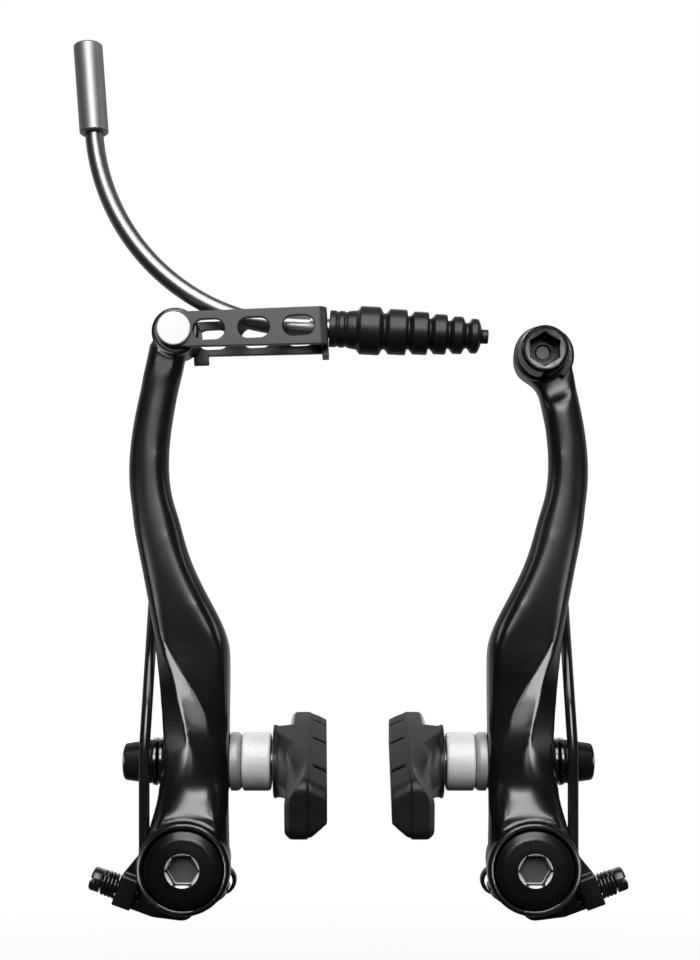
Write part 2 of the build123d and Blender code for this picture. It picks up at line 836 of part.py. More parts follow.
outer_dome_end = arm_outer_face - outer_dome_height
outer_cup_end = outer_dome_end - outer_cup_height
nut_start = outer_cup_end - seat_gap
nut_end = nut_start - nut_length
with BuildPart() as outer_dome_washer:
    with BuildSketch(stud_profile):
        with BuildLine():
            Polyline(
                (outer_dome_end - outer_cup_height / 2, washer_bore_radius),
                (arm_outer_face - seat_gap, washer_bore_radius),
                (arm_outer_face - seat_gap, outer_washer_radius),
                (outer_dome_end + 0.4, outer_washer_radius),
                (outer_dome_end, outer_washer_radius - 0.7),
            )
            ThreePointArc(
                (outer_dome_end, outer_washer_radius - 0.7),
                (outer_dome_end - outer_cup_height * 0.32, washer_bore_radius + 0.6),
                (outer_dome_end - outer_cup_height / 2, washer_bore_radius),
            )
        make_face()
    revolve(axis=stud_axis)
save_pair(outer_dome_washer, "outer_dome_washer")

with BuildPart() as outer_cup_washer:
    with BuildSketch(stud_profile):
        with BuildLine():
            Polyline(
                (outer_dome_end - outer_cup_height / 2 - seat_gap, washer_bore_radius),
                (outer_cup_end, washer_bore_radius),
                (outer_cup_end, outer_washer_radius - 0.2),
                (outer_cup_end + 0.2, outer_washer_radius),
                (outer_dome_end - seat_gap, outer_washer_radius),
                (outer_dome_end - seat_gap, outer_washer_radius - 0.7 + seat_gap),
            )
            ThreePointArc(
                (outer_dome_end - seat_gap, outer_washer_radius - 0.7 + seat_gap),
                (outer_dome_end - outer_cup_height * 0.32 - seat_gap, washer_bore_radius + 0.6 + seat_gap),
                (outer_dome_end - outer_cup_height / 2 - seat_gap, washer_bore_radius),
            )
        make_face()
    revolve(axis=stud_axis)
save_pair(outer_cup_washer, "outer_cup_washer")

with BuildPart() as shoe_nut:
    with BuildSketch(stud_profile):
        with BuildLine():
            Polyline(
                (nut_start, stud_radius + running_gap),
                (nut_start, nut_wide_radius),
                (nut_start - 0.8, nut_wide_radius),
                (nut_end + 0.4, nut_end_radius),
                (nut_end, nut_end_radius - 0.4),
                (nut_end, 0),
                (nut_end + nut_hex_depth, 0),
                (nut_end + nut_hex_depth, stud_radius + running_gap),
                close=True,
            )
        make_face()
    revolve(axis=stud_axis)
    with BuildSketch(across(nut_end)):
        hexagon(nut_hex)
    extrude(amount=nut_hex_depth, mode=Mode.SUBTRACT)
save_pair(shoe_nut, "shoe_nut")

# Brake shoe, curved to the rim and tilted about its stud
tilt = radians(shoe_tilt)
toe = radians(shoe_toe_in)
shoe_along = Vector(-sin(toe), cos(toe) * cos(tilt), cos(toe) * sin(tilt))
shoe_normal = Vector(cos(toe), sin(toe) * cos(tilt), sin(toe) * sin(tilt))


def shoe_plane(inward):
    """Plane of the left shoe's side view, with its normal towards the rim."""
    return Plane(
        origin=(left_pivot + inward, -stud_forward, stud_height),
        x_dir=shoe_along,
        z_dir=shoe_normal,
    )


def shoe_outline(top_step=0):
    """Side view of the shoe: a bar that follows the rim's curve."""
    half = shoe_length / 2
    top = shoe_height / 2 - top_step
    low = -shoe_height / 2 + top_step / 2
    sag = rim_radius - sqrt(rim_radius**2 - half**2)
    with BuildSketch(mode=Mode.PRIVATE) as outline:
        with BuildLine():
            ThreePointArc((-half, top - sag), (0, top), (half, top - sag))
            Line((half, top - sag), (half, low - sag))
            ThreePointArc((half, low - sag), (0, low), (-half, low - sag))
            Line((-half, low - sag), (-half, top - sag))
        make_face()
        fillet(outline.vertices(), shoe_corner)
    return outline.sketch


def hump_corners(length, flat, height, end_height):
    """Eight corners of a bar with its corners cut off."""
    corners = [
        (length / 2, end_height / 2),
        (flat / 2, height / 2),
        (-flat / 2, height / 2),
        (-length / 2, end_height / 2),
    ]
    return corners + [(-x, -y) for x, y in corners]


with BuildPart() as shoe_back_plate:
    with BuildSketch(shoe_plane(shoe_back)):
        add(shoe_outline())
    extrude(amount=pad_joint - shoe_back - seat_gap)
    chamfer(shoe_back_plate.faces().sort_by(Axis.X)[0].edges(), back_chamfer * 0.5)
    # the far end thins out behind
    with BuildSketch(shoe_plane(0).rotated((-90, 0, 0))):
        with BuildLine():
            Polyline(
                (shoe_taper_start, shoe_back - 1),
                (shoe_taper_start, shoe_back),
                (shoe_length / 2 + 1, shoe_back + shoe_taper),
                (shoe_length / 2 + 1, shoe_back - 1),
                close=True,
            )
        make_face()
    extrude(amount=shoe_height, both=True, mode=Mode.SUBTRACT)
    # faceted hump that carries the flange
    with BuildSketch(shoe_plane(shoe_back + hump_sink)):
        Polygon(*hump_corners(hump_length, hump_flat, hump_height, hump_end_height), align=None)
    with BuildSketch(shoe_plane(shoe_flange_start + shoe_flange_thickness)):
        Polygon(*hump_corners(hump_neck, hump_neck_flat, hump_neck, hump_neck_flat), align=None)
    loft(ruled=True)
    with BuildSketch(shoe_plane(shoe_flange_start)):
        Circle(shoe_flange_radius)
    extrude(amount=shoe_flange_thickness)
    fillet(shoe_back_plate.faces().sort_by(Axis.X)[0].edges(), 0.4)
    with BuildSketch(shoe_plane(shoe_flange_start)):
        Circle(stud_radius + seat_gap)
    extrude(amount=stud_seat_depth, mode=Mode.SUBTRACT)
save_pair(shoe_back_plate, "shoe_back")

with BuildPart() as friction_block:
    with BuildSketch(shoe_plane(pad_joint)):
        add(shoe_outline())
    with BuildSketch(shoe_plane(pad_face)):
        add(shoe_outline(pad_slope))
    loft(ruled=True)
    with BuildSketch(shoe_plane(pad_face - pad_groove_depth)):
        with GridLocations(pad_groove_pitch, 1, pad_groove_count, 1):
            Rectangle(pad_groove_width, 3 * shoe_height, rotation=pad_groove_slant)
    extrude(amount=pad_groove_depth, mode=Mode.SUBTRACT)
    # the lower edge next to the rim is bevelled
    with BuildSketch(Plane(origin=shoe_plane(pad_face).origin, x_dir=shoe_normal, z_dir=-shoe_along)):
        with BuildLine():
            Polyline(
                (0.2, -shoe_height / 2 + pad_bevel_start),
                (0.2, -shoe_height / 2 - pad_bevel),
                (-pad_bevel - pad_bevel_start, -shoe_height / 2 - pad_bevel),
                close=True,
            )
        make_face()
    extrude(amount=shoe_length, both=True, mode=Mode.SUBTRACT)
save_pair(friction_block, "friction_block")

with BuildPart() as shoe_stud:
    with BuildSketch(across(nut_end + nut_hex_depth + 0.2)):
        Circle(stud_radius)
    extrude(amount=shoe_flange_start + stud_seat_depth - seat_gap - nut_end - nut_hex_depth - 0.2)
    chamfer(shoe_stud.edges().sort_by(Axis.X)[0], 0.4)
save_pair(shoe_stud, "shoe_stud")

# Lead pipe: a short straight run in the ferrule, one bend, a short straight run to the tip
pipe_down = Vector(sin(radians(pipe_lean)), 0, -cos(radians(pipe_lean)))
bend_start = Vector(pin_x - pipe_bend_reach, -link_depth, link_pin_height + pipe_bend_rise)
bend_centre = bend_start + Vector(cos(radians(pipe_lean)), 0, sin(radians(pipe_lean))) * pipe_bend_radius


def on_bend(heading):
    """Point of the pipe's bend where the pipe points at an angle above the level."""
    turn = radians(heading)
    return bend_centre + Vector(sin(turn), 0, -cos(turn)) * pipe_bend_radius


ferrule_seat = ferrule_length - housing_depth
pipe_top = bend_start - pipe_down * (ferrule_seat - 0.5)
pipe_heading = Vector(cos(radians(pipe_end_slope)), 0, sin(radians(pipe_end_slope)))
pipe_mouth = on_bend(pipe_end_slope) + pipe_heading * pipe_end_run
with BuildPart() as lead_pipe:
    with BuildLine() as pipe_line:
        Line(pipe_top, bend_start)
        ThreePointArc(
            bend_start,
            on_bend((pipe_end_slope + pipe_lean - 90) / 2),
            on_bend(pipe_end_slope),
        )
        Line(on_bend(pipe_end_slope), pipe_mouth)
    with BuildSketch(Plane(origin=pipe_top, z_dir=pipe_down)):
        Circle(pipe_radius)
        Circle(pipe_bore_radius, mode=Mode.SUBTRACT)
    sweep(path=pipe_line.wires()[0])
save(lead_pipe, "lead_pipe")

with BuildPart() as pipe_liner:
    with BuildSketch(Plane(origin=pipe_top, z_dir=pipe_down)):
        Circle(liner_radius)
        Circle(liner_bore_radius, mode=Mode.SUBTRACT)
    sweep(path=pipe_line.wires()[0])
save(pipe_liner, "pipe_liner")

# Ferrule that takes the end of the cable housing
ferrule_plane = Plane(origin=bend_start, x_dir=(0, 1, 0), z_dir=-pipe_down)
with BuildPart() as pipe_ferrule:
    with BuildSketch(ferrule_plane):
        Circle(ferrule_radius)
    extrude(amount=ferrule_length)
    chamfer(pipe_ferrule.edges().filter_by(GeomType.CIRCLE), 0.35)
    with BuildSketch(ferrule_plane):
        Circle(pipe_radius + seat_gap)
    extrude(amount=ferrule_length, mode=Mode.SUBTRACT)
    with BuildSketch(ferrule_plane.offset(ferrule_seat)):
        Circle(housing_bore_radius)
    extrude(amount=housing_depth, mode=Mode.SUBTRACT)
save(pipe_ferrule, "pipe_ferrule")

# Tip that seats in the link's end wall: barrel, flange and nose
link_right = Vector(cos(radians(link_tilt)), 0, sin(radians(link_tilt)))
link_up = Vector(-sin(radians(link_tilt)), 0, cos(radians(link_tilt)))


def link_plane(forward):
    """Plane of the link's side view, with the pin at its origin."""
    return Plane(origin=(pin_x, -forward, link_pin_height), x_dir=link_right, z_dir=(0, -1, 0))


wall_inside = link_length - link_sheet
mouth_along = (pipe_mouth - Vector(pin_x, -link_depth, link_pin_height)).dot(link_right)
flange_length = wall_inside - mouth_along - tip_seat_gap
tip_start = pipe_mouth - pipe_heading * tip_barrel_length
tip_plane = Plane(origin=tip_start, x_dir=(0, 1, 0), z_dir=pipe_heading)
with BuildPart() as pipe_tip:
    with BuildSketch(tip_plane):
        Circle(tip_barrel_radius)
    extrude(amount=tip_barrel_length)
    with BuildSketch(tip_plane.offset(tip_barrel_length)):
        Circle(tip_flange_radius)
    extrude(amount=flange_length)
    with BuildSketch(tip_plane.offset(tip_barrel_length + flange_length)):
        Circle(tip_nose_radius)
    extrude(amount=tip_nose_length)
    with BuildSketch(tip_plane):
        Circle(pipe_radius + seat_gap)
    extrude(amount=tip_barrel_length + seat_gap, mode=Mode.SUBTRACT)
    with BuildSketch(tip_plane):
        Circle(liner_radius)
    extrude(amount=tip_barrel_length + flange_length + tip_nose_length, mode=Mode.SUBTRACT)
save(pipe_tip, "pipe_tip")

# Link: one folded strip, two sides and an end wall
link_rear = eye_rear - body_gap - link_sheet
link_width = eye_thickness + 2 * body_gap + 2 * link_sheet
nose_centre = tip_start + pipe_heading * (tip_barrel_length + flange_length + link_sheet / 2)
with BuildPart() as link:
    with BuildSketch(link_plane(link_rear)):
        Circle(link_half_height)
        with BuildLine():
            Polyline(
                (0, link_half_height),
                (link_length, link_end_top),
                (link_length, -link_end_bottom),
                (0, -link_half_height),
                close=True,
            )
        make_face()
    extrude(amount=link_width)
    end_edges = link.faces().sort_by(Axis.X)[-1].edges().sort_by(Axis.Y)
    fillet([end_edges[0], end_edges[-1]], link_bend_radius)
    with BuildSketch(link_plane(link_rear + link_sheet)):
        with Locations((wall_inside, 0)):
            Rectangle(2 * link_length, 4 * link_half_height, align=(Align.MAX, Align.CENTER))
    extrude(amount=link_width - 2 * link_sheet, mode=Mode.SUBTRACT)
    with BuildSketch(link_plane(link_rear)):
        for place in range(link_hole_count):
            with Locations((link_hole_first + place * link_hole_pitch, -link_hole_drop)):
                SlotOverall(link_hole_length, link_hole_height)
        Circle(pin_radius + running_gap)
    extrude(amount=link_width, mode=Mode.SUBTRACT)
    # stop lug under the rear side and a lug under the end wall
    with BuildSketch(link_plane(link_rear)):
        with Locations((lug_along, -link_half_height + 0.4)):
            Rectangle(lug_width, lug_height + 0.4, align=(Align.MIN, Align.MAX))
    extrude(amount=link_sheet)
    with BuildSketch(link_plane(link_depth - end_lug_depth / 2)):
        with Locations((link_length, -link_end_bottom + 0.4)):
            Rectangle(link_sheet, lug_height + 0.4, align=(Align.MAX, Align.MAX))
    extrude(amount=end_lug_depth)
    # keyhole for the tip's nose, open at the top for the cable
    with BuildSketch(Plane(origin=nose_centre, x_dir=(0, 1, 0), z_dir=link_right)):
        Circle(tip_nose_radius + nose_hole_gap)
        Rectangle(cable_slot_width, 3 * link_half_height, align=(Align.CENTER, Align.MIN))
    extrude(amount=2 * link_sheet, both=True, mode=Mode.SUBTRACT)
save(link, "link")

# Link pin, riveted behind
pin_front = link_rear + link_width + pin_head_gap
pin_rear = link_rear - pin_head_gap
with BuildPart() as link_pin:
    with BuildSketch(facing(pin_x, link_pin_height, pin_rear)):
        Circle(pin_radius)
    extrude(amount=pin_front - pin_rear)
    with BuildSketch(facing(pin_x, link_pin_height, pin_front)):
        Circle(pin_head_radius)
    extrude(amount=pin_head_height)
    with BuildSketch(facing(pin_x, link_pin_height, pin_rear)):
        Circle(pin_tail_radius)
    extrude(amount=-pin_head_height)
    ends = link_pin.edges().filter_by(GeomType.CIRCLE).sort_by(Axis.Y)
    fillet([ends[0], ends[-1]], pin_head_height * 0.4)
save(link_pin, "link_pin")

# Rubber boot over the tip's nose
boot_start = nose_centre + pipe_heading * (link_sheet / 2 + boot_gap)
ring_starts = [boot_first_ring]
for pitch in boot_ring_pitch:
    ring_starts.append(ring_starts[-1] + pitch)
boot_length = ring_starts[-1] + boot_last_width + boot_ring_flank
boot_plane = Plane(origin=boot_start, x_dir=pipe_heading, z_dir=(0, -1, 0))
groove_places = (boot_neck_length / 3, boot_neck_length * 2 / 3)
with BuildPart() as boot:
    outline = [(0, tip_nose_radius + seat_gap), (0, boot_neck_radius)]
    for place in groove_places:
        outline.append((place - 0.4, boot_neck_radius))
        outline.append((place, boot_neck_radius - boot_neck_groove))
        outline.append((place + 0.4, boot_neck_radius))
    for number, start in enumerate(ring_starts):
        share = number / (boot_ring_count - 1)
        crest = boot_first_radius + share * (boot_last_radius - boot_first_radius)
        width = boot_first_width + share * (boot_last_width - boot_first_width)
        valley = crest - boot_valley_depth
        outline.append((start - 2 * boot_ring_flank, valley))
        outline.append((start - boot_ring_flank, valley))
        outline.append((start, crest - 0.25))
        outline.append((start + 0.25, crest))
        outline.append((start + width - 0.25, crest))
        outline.append((start + width, crest - 0.25))
    outline.append((boot_length, boot_nub_radius + 0.6))
    outline.append((boot_length, boot_nub_radius))
    outline.append((boot_length + boot_nub_length, boot_nub_radius))
    outline.append((boot_length + boot_nub_length, boot_end_bore_radius))
    outline.append((boot_neck_length, tip_nose_radius + seat_gap))
    with BuildSketch(boot_plane):
        with BuildLine():
            Polyline(*outline, close=True)
        make_face()
    revolve(axis=Axis(boot_start, pipe_heading))
save(boot, "boot")
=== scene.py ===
import json
import math

import bmesh
import bpy
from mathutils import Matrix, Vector


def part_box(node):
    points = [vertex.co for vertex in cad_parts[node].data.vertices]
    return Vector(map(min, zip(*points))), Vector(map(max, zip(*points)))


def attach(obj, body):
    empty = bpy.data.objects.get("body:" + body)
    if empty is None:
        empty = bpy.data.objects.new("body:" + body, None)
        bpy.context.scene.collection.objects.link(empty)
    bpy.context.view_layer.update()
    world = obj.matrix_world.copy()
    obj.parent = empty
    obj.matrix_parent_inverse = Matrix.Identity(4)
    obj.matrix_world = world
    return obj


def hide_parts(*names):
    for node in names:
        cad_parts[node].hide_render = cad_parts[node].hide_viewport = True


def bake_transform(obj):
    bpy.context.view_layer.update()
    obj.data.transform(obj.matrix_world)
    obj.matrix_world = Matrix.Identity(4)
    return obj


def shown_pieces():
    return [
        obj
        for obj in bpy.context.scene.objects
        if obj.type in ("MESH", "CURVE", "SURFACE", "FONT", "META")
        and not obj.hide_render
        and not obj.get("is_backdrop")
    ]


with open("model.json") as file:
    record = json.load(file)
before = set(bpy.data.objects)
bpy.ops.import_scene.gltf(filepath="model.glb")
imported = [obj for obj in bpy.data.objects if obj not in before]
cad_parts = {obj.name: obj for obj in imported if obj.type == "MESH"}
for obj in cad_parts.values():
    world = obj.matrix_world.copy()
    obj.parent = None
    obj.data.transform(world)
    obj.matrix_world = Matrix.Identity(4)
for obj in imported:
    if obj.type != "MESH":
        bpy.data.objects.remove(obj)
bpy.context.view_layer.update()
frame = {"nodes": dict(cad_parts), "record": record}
mm = 0.001
sides = {"left": -1, "right": 1}  # which way along X is outward
halfSpacing = 36.5  # from the middle to each pivot, in mm
bodies = frame["record"]["behaviour"]["bodies"]
bodyOf = {node: body for body, nodes in bodies.items() for node in nodes}
print("frame loaded,", len(frame["nodes"]), "nodes")

# finishes: every one is a Principled shader fed by noise in object space
plainFinish = {
    "driftScale": 60, "driftDetail": 3.0, "driftSpan": (0.35, 0.65),
    "grainDetail": 5.0, "grainShare": 0.5, "colourEnds": (0.25, 0.8),
    "bump": 0.15, "bumpDepth": 0.02, "metallic": 0.0, "specular": 0.5,
}


def clearTree(owner):
    owner.use_nodes = True
    owner.node_tree.nodes.clear()
    return owner.node_tree


def socket(node, name, value):
    node.inputs[name].default_value = value


def addNode(tree, kind, **values):
    node = tree.nodes.new(kind)
    for name, value in values.items():
        setattr(node, name, value)
    return node


# a Math node on sockets and plain numbers
def combined(tree, operation, *values):
    node = addNode(tree, "ShaderNodeMath", operation=operation)
    for place, value in enumerate(values):
        if isinstance(value, float):
            socket(node, place, value)
        else:
            tree.links.new(value, node.inputs[place])
    return node.outputs[0]


def noiseAt(tree, coords, scale, detail):
    noise = addNode(tree, "ShaderNodeTexNoise")
    socket(noise, "Scale", scale)
    socket(noise, "Detail", detail)
    tree.links.new(coords, noise.inputs["Vector"])
    return noise.outputs["Fac"]


# noise keeps mostly between 0.3 and 0.7, so that is what is spread over low to high
def spread(tree, value, low, high, start=0.3, end=0.7):
    ranger = addNode(tree, "ShaderNodeMapRange")
    socket(ranger, "From Min", start)
    socket(ranger, "From Max", end)
    socket(ranger, "To Min", low)
    socket(ranger, "To Max", high)
    tree.links.new(value, ranger.inputs["Value"])
    return ranger.outputs["Result"]


def axisOf(tree, coords, axis):
    split = addNode(tree, "ShaderNodeSeparateXYZ")
    tree.links.new(coords, split.inputs[0])
    return split.outputs[axis]


def bumped(tree, height, strength, depth):
    bump = addNode(tree, "ShaderNodeBump")
    socket(bump, "Strength", strength)
    socket(bump, "Distance", depth * mm)
    tree.links.new(height, bump.inputs["Height"])
    return bump


# lathe rings round the middle of a turned head
def turnedRings(tree, coords, look):
    shift = addNode(tree, "ShaderNodeMapping")
    socket(shift, "Location", [-v * mm for v in look["ringCentre"]])
    tree.links.new(coords, shift.inputs["Vector"])
    wave = addNode(tree, "ShaderNodeTexWave", wave_type="RINGS", rings_direction="Y")
    socket(wave, "Scale", look["ringScale"])
    socket(wave, "Distortion", look["ringWobble"])
    socket(wave, "Detail Scale", look["ringWobbleScale"])
    tree.links.new(shift.outputs["Vector"], wave.inputs["Vector"])
    return wave.outputs["Fac"]


# colour drifts slowly over the piece and grains finely
def colourOf(tree, look, drift, grain):
    share = look["grainShare"]
    slow = spread(tree, drift, 0.0, 1.0 - share, *look["driftSpan"])
    ramp = addNode(tree, "ShaderNodeValToRGB")
    for place, shade in enumerate(("dark", "light")):
        element = ramp.color_ramp.elements[place]
        element.position = look["colourEnds"][place]
        element.color = (*look[shade], 1)
    tree.links.new(combined(tree, "MULTIPLY_ADD", grain, share, slow), ramp.inputs["Fac"])
    return ramp.outputs["Color"]


# a satin look grows duller with height
def roughnessOf(tree, look, coords, drift):
    rough = spread(tree, drift, *look["roughness"])
    if "satinFrom" not in look:
        return rough
    satin = spread(tree, axisOf(tree, coords, "Z"), 0.0, look["satinAdd"], *look["satinFrom"])
    return combined(tree, "ADD", rough, satin)


def normalOf(tree, look, coords, grain):
    fine = bumped(tree, grain, look["bump"], look["bumpDepth"])
    if "ringCentre" not in look:
        return fine.outputs["Normal"]
    rings = bumped(tree, turnedRings(tree, coords, look), look["ringBump"], look["ringDepth"])
    tree.links.new(fine.outputs["Normal"], rings.inputs["Normal"])
    return rings.outputs["Normal"]


def finish(name, look):
    look = {**plainFinish, **look}
    material = bpy.data.materials.new(name)
    tree = clearTree(material)
    output = addNode(tree, "ShaderNodeOutputMaterial")
    shader = addNode(tree, "ShaderNodeBsdfPrincipled")
    tree.links.new(shader.outputs["BSDF"], output.inputs["Surface"])
    coords = addNode(tree, "ShaderNodeTexCoord").outputs["Object"]
    drift = noiseAt(tree, coords, look["driftScale"], look["driftDetail"])
    grain = noiseAt(tree, coords, look["grainScale"], look["grainDetail"])
    tree.links.new(colourOf(tree, look, drift, grain), shader.inputs["Base Color"])
    tree.links.new(roughnessOf(tree, look, coords, drift), shader.inputs["Roughness"])
    tree.links.new(normalOf(tree, look, coords, grain), shader.inputs["Normal"])
    socket(shader, "Metallic", look["metallic"])
    socket(shader, "Specular IOR Level", look["specular"])
    return material


# piece helpers: a copy of a node's mesh stands in for the node
meshing = {
    "weld": 0.0005, "smoothing": 0.5, "leastWeight": 0.01,
    "flatAngle": 0.5, "bevelAngle": 28, "sharpAngle": 38, "bevelSegments": 3,
}


def copyOf(nodeName):
    mesh = frame["nodes"][nodeName].data.copy()
    mesh.name = nodeName
    mesh.materials.clear()
    work = bmesh.new()
    work.from_mesh(mesh)
    bmesh.ops.remove_doubles(work, verts=work.verts, dist=meshing["weld"] * mm)
    work.to_mesh(mesh)
    work.free()
    if mesh.has_custom_normals:
        mesh.attributes.remove(mesh.attributes["custom_normal"])
    piece = bpy.data.objects.new(nodeName + "_shape", mesh)
    bpy.context.scene.collection.objects.link(piece)
    return piece


def applyModifiers(piece):
    bpy.context.view_layer.update()
    depsgraph = bpy.context.evaluated_depsgraph_get()
    made = bpy.data.meshes.new_from_object(piece.evaluated_get(depsgraph))
    piece.modifiers.clear()
    piece.data = made
    made.name = piece.name


def addSmooth(piece, passes):
    smooth = piece.modifiers.new("smooth", "SMOOTH")
    smooth.factor = meshing["smoothing"]
    smooth.iterations = passes
    return smooth


# remeshed and smoothed, for forged and moulded pieces
def softened(nodeName, look):
    piece = copyOf(nodeName)
    remesh = piece.modifiers.new("remesh", "REMESH")
    remesh.mode = "VOXEL"
    remesh.voxel_size = look["voxel"] * mm
    addSmooth(piece, look["passes"])
    applyModifiers(piece)
    piece.data.shade_smooth()
    return piece


# bevelled on its sharp edges, for turned and stamped pieces
def bevelled(nodeName, look):
    piece = copyOf(nodeName)
    work = bmesh.new()
    work.from_mesh(piece.data)
    flat = math.radians(meshing["flatAngle"])
    bmesh.ops.dissolve_limit(work, angle_limit=flat, verts=work.verts, edges=work.edges)
    work.to_mesh(piece.data)
    work.free()
    bevel = piece.modifiers.new("bevel", "BEVEL")
    bevel.width = look["bevel"] * mm
    bevel.segments = look.get("bevelSegments", meshing["bevelSegments"])
    bevel.limit_method = "ANGLE"
    bevel.angle_limit = math.radians(meshing["bevelAngle"])
    bevel.use_clamp_overlap = False
    applyModifiers(piece)
    piece.data.shade_smooth()
    piece.data.set_sharp_from_angle(angle=math.radians(meshing["sharpAngle"]))
    weighted = piece.modifiers.new("normals", "WEIGHTED_NORMAL")
    weighted.keep_sharp = True
    applyModifiers(piece)
    return piece


# 0 up to start, 1 from end on, eased in and out
def between(value, start, end):
    share = min(max((value - start) / (end - start), 0.0), 1.0)
    return share * share * (3 - 2 * share)


# smooths part of a piece, as far as weightAt says for each point in mm and its normal
def relaxed(piece, weightAt, passes):
    group = piece.vertex_groups.new(name="relaxed")
    for vertex in piece.data.vertices:
        weight = weightAt(vertex.co / mm, vertex.normal)
        if weight > meshing["leastWeight"]:
            group.add([vertex.index], weight, "REPLACE")
    addSmooth(piece, passes).vertex_group = group.name
    applyModifiers(piece)
    piece.vertex_groups.clear()
    piece.data.shade_smooth()


# distance of a point in mm from its own pivot, toward the middle
def inwardOf(point):
    return halfSpacing - abs(point.x)


# middle of a node's box, in mm
def middleOf(nodeName):
    low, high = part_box(nodeName)
    return [(a + b) / 2 / mm for a, b in zip(low, high)]


def seat(piece, nodeName, slotName, *materials):
    piece.data.materials.clear()
    for material in materials:
        piece.data.materials.append(material)
    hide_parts(nodeName)
    if not nodeName.endswith("return_spring"):  # the return springs are left without a body
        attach(piece, bodyOf[nodeName])


def paintNode(nodeName, material):
    mesh = frame["nodes"][nodeName].data
    mesh.materials.clear()
    mesh.materials.append(material)


# forged arms
armLook = {
    "dark": (0.0015, 0.0015, 0.0017), "light": (0.0035, 0.0035, 0.0038),
    "roughness": (0.17, 0.21), "grainScale": 3200, "grainShare": 0.4, "bump": 0.06, "specular": 0.75,
    "satinFrom": (0.048, 0.066), "satinAdd": 0.08, "voxel": 0.34, "passes": 5,
    "roundFrom": (45, 55), "eyeFrom": (100, 104.5), "roundPasses": 170,
    "edgeFrom": (4.5, 6.5), "edgeAbove": (26, 30), "edgeShare": 0.5,
    "hollowLow": (10.5, 13), "hollowHigh": (19, 26), "hollowFacing": -0.3, "hollowPasses": 300,
}
armBlack = finish("armBlackAnodised", armLook)


# the upper blade and the inner edge are well rounded, the twisted facets stay crisp
def bladeRound(point, normal):
    upper = between(point.z, *armLook["roundFrom"]) * (1 - between(point.z, *armLook["eyeFrom"]))
    edge = between(inwardOf(point), *armLook["edgeFrom"]) * between(point.z, *armLook["edgeAbove"])
    return max(upper, edge * armLook["edgeShare"])


# the blade runs into the hub in a long hollow on its front
def rootHollow(point, normal):
    if normal.y >= armLook["hollowFacing"]:
        return 0.0
    return between(point.z, *armLook["hollowLow"]) * (1 - between(point.z, *armLook["hollowHigh"]))


for side in sides:
    arm = softened(side + "_arm", armLook)
    relaxed(arm, bladeRound, armLook["roundPasses"])
    relaxed(arm, rootHollow, armLook["hollowPasses"])
    seat(arm, side + "_arm", "arm", armBlack)
print("arms forged")

# pivots: bush, and bolt with a painted highlight on its socket mouth and painted light on the socket
# floor
bushLook = {
    "dark": (0.30, 0.30, 0.31), "light": (0.42, 0.42, 0.43), "roughness": (0.3, 0.42),
    "grainScale": 1800, "bump": 0.1, "metallic": 1.0,
}
boltLook = {
    "dark": (0.0015, 0.0015, 0.0017), "light": (0.0035, 0.0035, 0.0038), "roughness": (0.24, 0.32),
    "grainScale": 2400, "bump": 0.2, "specular": 0.6, "bevel": 0.2,
    "ringScale": 170, "ringBump": 0.35, "ringDepth": 0.03, "ringWobble": 0.6, "ringWobbleScale": 3.0,
}
# light grey painted on the socket mouth's cone as a highlight ring; the keys below pick its faces and
# the floor's
mouthPaintedHighlightLook = {
    "dark": (0.62, 0.62, 0.625), "light": (0.80, 0.80, 0.805), "roughness": (0.4, 0.48),
    "grainScale": 2600, "bump": 0.1, "metallic": 0.3,
    "inner": 2.9, "outer": 3.75, "flattest": -0.97, "steepest": -0.3,
    "floorReach": 2.9, "floorFacing": -0.9, "floorBehind": 1.5,
}
# a lighter grey painted on the socket floor for the light it catches
socketFloorPaintedLightLook = {
    "dark": (0.07, 0.07, 0.072), "light": (0.13, 0.13, 0.133), "roughness": (0.4, 0.5),
    "grainScale": 2200, "bump": 0.2, "metallic": 0.3,
}
bushSteel = finish("bushSteel", bushLook)
mouthPaintedHighlight = finish("socketMouthSteel", mouthPaintedHighlightLook)
socketFloorPaintedLight = finish("socketFloorGrey", socketFloorPaintedLightLook)


# the mouth's cone is painted light grey as a highlight ring, and the socket floor is painted a lighter
# grey than the bolt for the light it catches
def paintSocketLight(bolt, centre, look):
    front = min(vertex.co.y for vertex in bolt.data.vertices) / mm
    for face in bolt.data.polygons:
        place = face.center / mm
        across = math.hypot(place.x - centre[0], place.z - centre[2])
        inCone = look["flattest"] < face.normal.y < look["steepest"]
        atFloor = face.normal.y < look["floorFacing"] and place.y > front + look["floorBehind"]
        # painted highlight: the cone's faces take the light grey
        if look["inner"] < across < look["outer"] and inCone:
            face.material_index = 1
        # painted light: the floor's faces take the lighter grey
        elif across < look["floorReach"] and atFloor:
            face.material_index = 2


for side in sides:
    paintNode(side + "_pivot_bush", bushSteel)
    centre = middleOf(side + "_pivot_bolt")
    turned = finish(side + "BoltTurned", {**boltLook, "ringCentre": centre})
    bolt = bevelled(side + "_pivot_bolt", boltLook)
    seat(bolt, side + "_pivot_bolt", "bolt", turned, mouthPaintedHighlight, socketFloorPaintedLight)
    paintSocketLight(bolt, centre, mouthPaintedHighlightLook)
print("pivots done")

